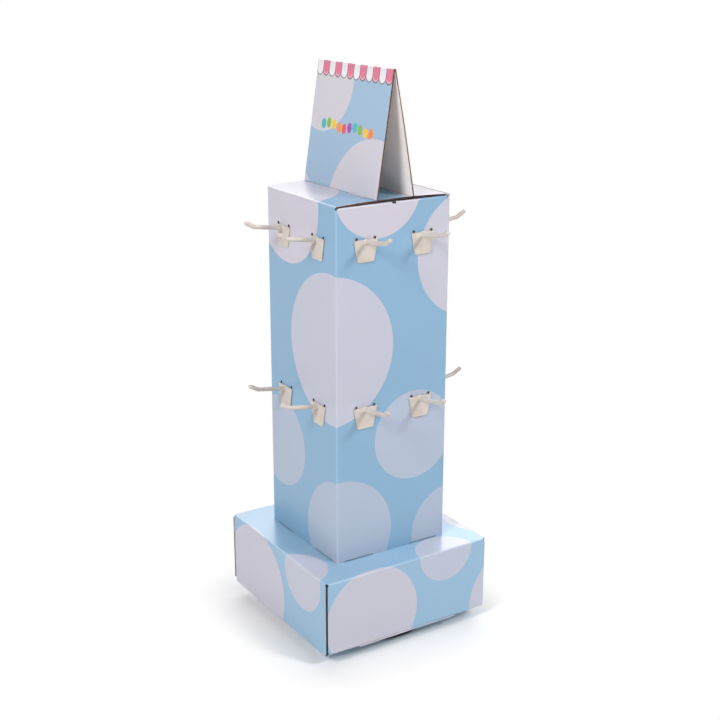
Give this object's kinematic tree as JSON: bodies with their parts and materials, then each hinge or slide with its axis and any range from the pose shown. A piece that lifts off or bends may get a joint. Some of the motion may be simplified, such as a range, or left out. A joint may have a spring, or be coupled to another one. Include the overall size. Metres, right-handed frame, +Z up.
{
  "type": "cardboard display stand",
  "caption": "Counter display stand of folded printed board: square column on a turning box base, push-in hooks on all sides, hinged lid and a tent header card.",
  "frame": {"origin": "middle of the turntable foot's underside, on the floor", "axes": "+Z up; -Y the side that the header's printed panel faces; +X the stand's right side"},
  "size_m": [0.302, 0.302, 0.7945],
  "materials": {
    "printed_board": "satin print on fluted board, light blue with pale lilac dots, raw brown edges",
    "header_board": "satin print outside, plain white inside, raw brown edges",
    "hook_plastic": "cream white, moulded, satin",
    "turntable_plastic": "black, moulded, satin",
    "glide_plastic": "natural white, smooth",
    "pin_steel": "zinc plated",
    "rivet_plastic": "black, moulded"
  },
  "bodies": {
    "foot": {"turntable_foot": "turntable_plastic", "glide_ring": "glide_plastic"},
    "stand": {"turntable_plate": "turntable_plastic", "pivot_pin": "pin_steel", "plate_rivets": "rivet_plastic", "base_box": "printed_board", "column": "printed_board", "hook_front_1": "hook_plastic", "hook_front_2": "hook_plastic", "hook_front_3": "hook_plastic", "hook_front_4": "hook_plastic", "hook_right_1": "hook_plastic", "hook_right_2": "hook_plastic", "hook_right_3": "hook_plastic", "hook_right_4": "hook_plastic", "hook_back_1": "hook_plastic", "hook_back_2": "hook_plastic", "hook_back_3": "hook_plastic", "hook_back_4": "hook_plastic", "hook_left_1": "hook_plastic", "hook_left_2": "hook_plastic", "hook_left_3": "hook_plastic", "hook_left_4": "hook_plastic"},
    "lid": {"column_lid": "printed_board", "header_card": "header_board"}
  },
  "joints": [
    {"name": "turntable_spin", "type": "hinge", "parent": "foot", "child": "stand", "pos_m": [0, 0, 0], "axis": [0, 0, 1], "continuous": true},
    {"name": "lid_hinge", "type": "hinge", "parent": "stand", "child": "lid", "pos_m": [0, -0.088, 0.625], "axis": [1, 0, 0], "range_deg": [0, 110]}
  ]
}
